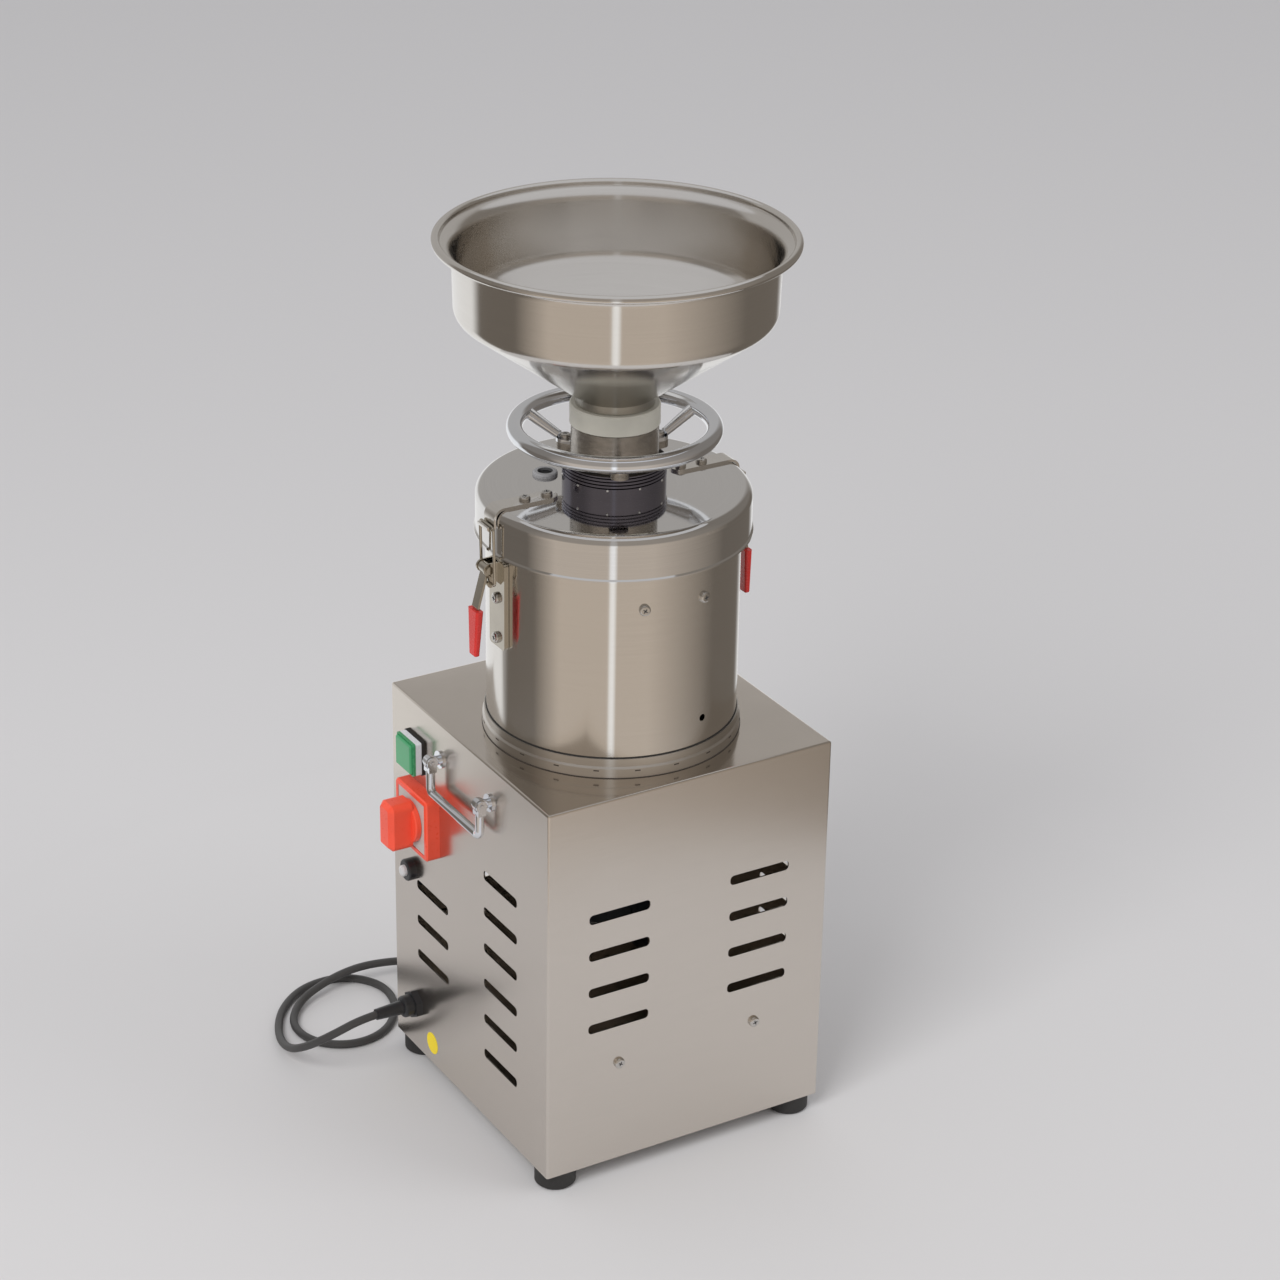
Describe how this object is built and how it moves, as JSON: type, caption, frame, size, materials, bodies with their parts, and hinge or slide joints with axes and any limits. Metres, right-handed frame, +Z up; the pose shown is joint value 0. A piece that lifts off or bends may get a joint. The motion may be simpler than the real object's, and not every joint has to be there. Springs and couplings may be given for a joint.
{
  "type": "nut butter grinder",
  "caption": "Upright electric nut butter grinder: boxed motor, round steel mill with a latched lid, stone-gap handwheel, feed hopper, control panel and mains cord.",
  "frame": {"origin": "the point of the table straight under the spindle axis, at the height of the feet's undersides", "axes": "+Z up along the spindle; +Y the way the butter leaves the spout; the control panel looks along -X and the plain vented face along -Y"},
  "size_m": [0.3755, 0.4067, 0.7596],
  "materials": {
    "housing_steel": "satin brushed stainless sheet",
    "polished_steel": "mirror-polished stainless sheet",
    "base_steel": "turned stainless",
    "fastener_steel": "bright zinc-plated",
    "shaft_steel": "ground steel",
    "motor_iron": "dark varnished laminations",
    "motor_alloy": "cast alloy",
    "black_plastic": "black moulded",
    "black_rubber": "black rubber",
    "gasket_silicone": "grey silicone",
    "bracket_steel": "nickel-plated",
    "red_sleeve": "red dipped vinyl",
    "neck_steel": "dark oiled thread",
    "hub_steel": "turned steel",
    "grinding_stone": "pale grey bonded abrasive",
    "chrome_rod": "chrome-plated",
    "cream_nylon": "cream nylon",
    "switch_red": "orange-red moulded",
    "label_grey": "plain silver-grey plate",
    "green_cap": "translucent green cap",
    "white_bezel": "white moulded",
    "cord_rubber": "dark grey sheath",
    "pin_brass": "bright brass"
  },
  "bodies": {
    "base": {"housing_cover": "housing_steel", "base_tray": "housing_steel", "rubber_feet": "black_rubber", "pan_screws": "fastener_steel", "motor_stator": "motor_iron", "motor_end_covers": "motor_alloy", "shaft_bearings": "shaft_steel", "mill_bolts": "fastener_steel", "barrel_base_ring": "base_steel", "mill_base": "base_steel", "shaft_seal": "black_rubber", "barrel": "polished_steel", "discharge_spout": "polished_steel", "latch_brackets": "bracket_steel", "latch_pins": "bracket_steel", "switch_frame": "switch_red", "switch_plate": "label_grey", "switch_body": "black_plastic", "start_bezel": "white_bezel", "start_gasket": "black_rubber", "breaker_body": "black_plastic", "handle_posts": "chrome_rod", "cable_gland": "black_plastic", "power_cord": "cord_rubber", "cord_coil": "cord_rubber", "plug_body": "black_plastic", "plug_pins": "pin_brass"},
    "rotor": {"motor_rotor": "shaft_steel", "motor_shaft": "shaft_steel", "motor_fan": "black_plastic", "rotor_disc": "hub_steel", "lower_stone": "grinding_stone", "rotor_nut": "fastener_steel", "scraper": "hub_steel"},
    "lid_assembly": {"lid": "polished_steel", "lid_gasket": "gasket_silicone", "lid_plug": "black_rubber", "lid_straps": "polished_steel", "strap_screws": "fastener_steel", "lid_neck": "neck_steel"},
    "adjuster": {"stone_carrier": "hub_steel", "feed_tube": "hub_steel", "upper_stone": "grinding_stone", "nylon_collar": "cream_nylon"},
    "handwheel": {"handwheel_hub": "hub_steel", "handwheel_rim": "chrome_rod", "handwheel_spokes": "chrome_rod", "spoke_screws": "fastener_steel"},
    "feed_hopper": {"hopper": "polished_steel", "hopper_tube": "polished_steel"},
    "left_lever": {"left_latch_lever": "bracket_steel", "left_latch_grip": "red_sleeve"},
    "left_bail": {"left_latch_bail": "bracket_steel"},
    "right_lever": {"right_latch_lever": "bracket_steel", "right_latch_grip": "red_sleeve"},
    "right_bail": {"right_latch_bail": "bracket_steel"},
    "rotary_switch": {"switch_knob": "switch_red"},
    "start_cap": {"start_button": "green_cap"},
    "breaker_reset": {"reset_button": "black_plastic"},
    "swing_handle": {"carry_handle": "chrome_rod"}
  },
  "joints": [
    {"name": "spindle_spin", "type": "hinge", "parent": "base", "child": "rotor", "pos_m": [0, 0, 0.3], "axis": [0, 0, 1], "continuous": true},
    {"name": "lid_lift", "type": "slide", "parent": "base", "child": "lid_assembly", "axis": [0, 0, 1], "range_m": [0, 0.12]},
    {"name": "stone_gap", "type": "slide", "parent": "lid_assembly", "child": "adjuster", "axis": [0, 0, 1], "range_m": [0, 0.003]},
    {"name": "handwheel_turn", "type": "hinge", "parent": "adjuster", "child": "handwheel", "pos_m": [0, 0, 0.603], "axis": [0, 0, 1], "range_deg": [0, 540]},
    {"name": "hopper_lift", "type": "slide", "parent": "adjuster", "child": "feed_hopper", "axis": [0, 0, 1], "range_m": [0, 0.1]},
    {"name": "left_lever_pivot", "type": "hinge", "parent": "base", "child": "left_lever", "pos_m": [-0.1145, 0, 0.508], "axis": [0, 1, 0], "range_deg": [0, 100]},
    {"name": "left_bail_pivot", "type": "hinge", "parent": "left_lever", "child": "left_bail", "pos_m": [-0.11202, 0, 0.49524], "axis": [0, 1, 0], "range_deg": [-110, 0]},
    {"name": "right_lever_pivot", "type": "hinge", "parent": "base", "child": "right_lever", "pos_m": [0.1145, 0, 0.508], "axis": [0, -1, 0], "range_deg": [0, 100]},
    {"name": "right_bail_pivot", "type": "hinge", "parent": "right_lever", "child": "right_bail", "pos_m": [0.11202, 0, 0.49524], "axis": [0, -1, 0], "range_deg": [-110, 0]},
    {"name": "switch_turn", "type": "hinge", "parent": "base", "child": "rotary_switch", "pos_m": [-0.1454, 0.0889, 0.2495], "axis": [-1, 0, 0], "range_deg": [0, 90]},
    {"name": "start_press", "type": "slide", "parent": "base", "child": "start_cap", "axis": [1, 0, 0], "range_m": [0, 0.003], "stiffness_N_per_m": 200, "springref_m": -0.002},
    {"name": "reset_press", "type": "slide", "parent": "base", "child": "breaker_reset", "axis": [1, 0, 0], "range_m": [0, 0.002], "stiffness_N_per_m": 400, "springref_m": -0.001},
    {"name": "handle_swing", "type": "hinge", "parent": "base", "child": "swing_handle", "pos_m": [-0.1344, 0.0166, 0.3165], "axis": [0, 1, 0], "range_deg": [-6, 165]}
  ],
  "couplings": [
    {"joint": "stone_gap", "follows": "handwheel_turn", "m_per_rad": 0.000318},
    {"joint": "left_lever_pivot", "follows": "lid_lift", "rad_per_m": 14.544},
    {"joint": "left_bail_pivot", "follows": "lid_lift", "rad_per_m": -15.999},
    {"joint": "right_lever_pivot", "follows": "lid_lift", "rad_per_m": 14.544},
    {"joint": "right_bail_pivot", "follows": "lid_lift", "rad_per_m": -15.999}
  ]
}
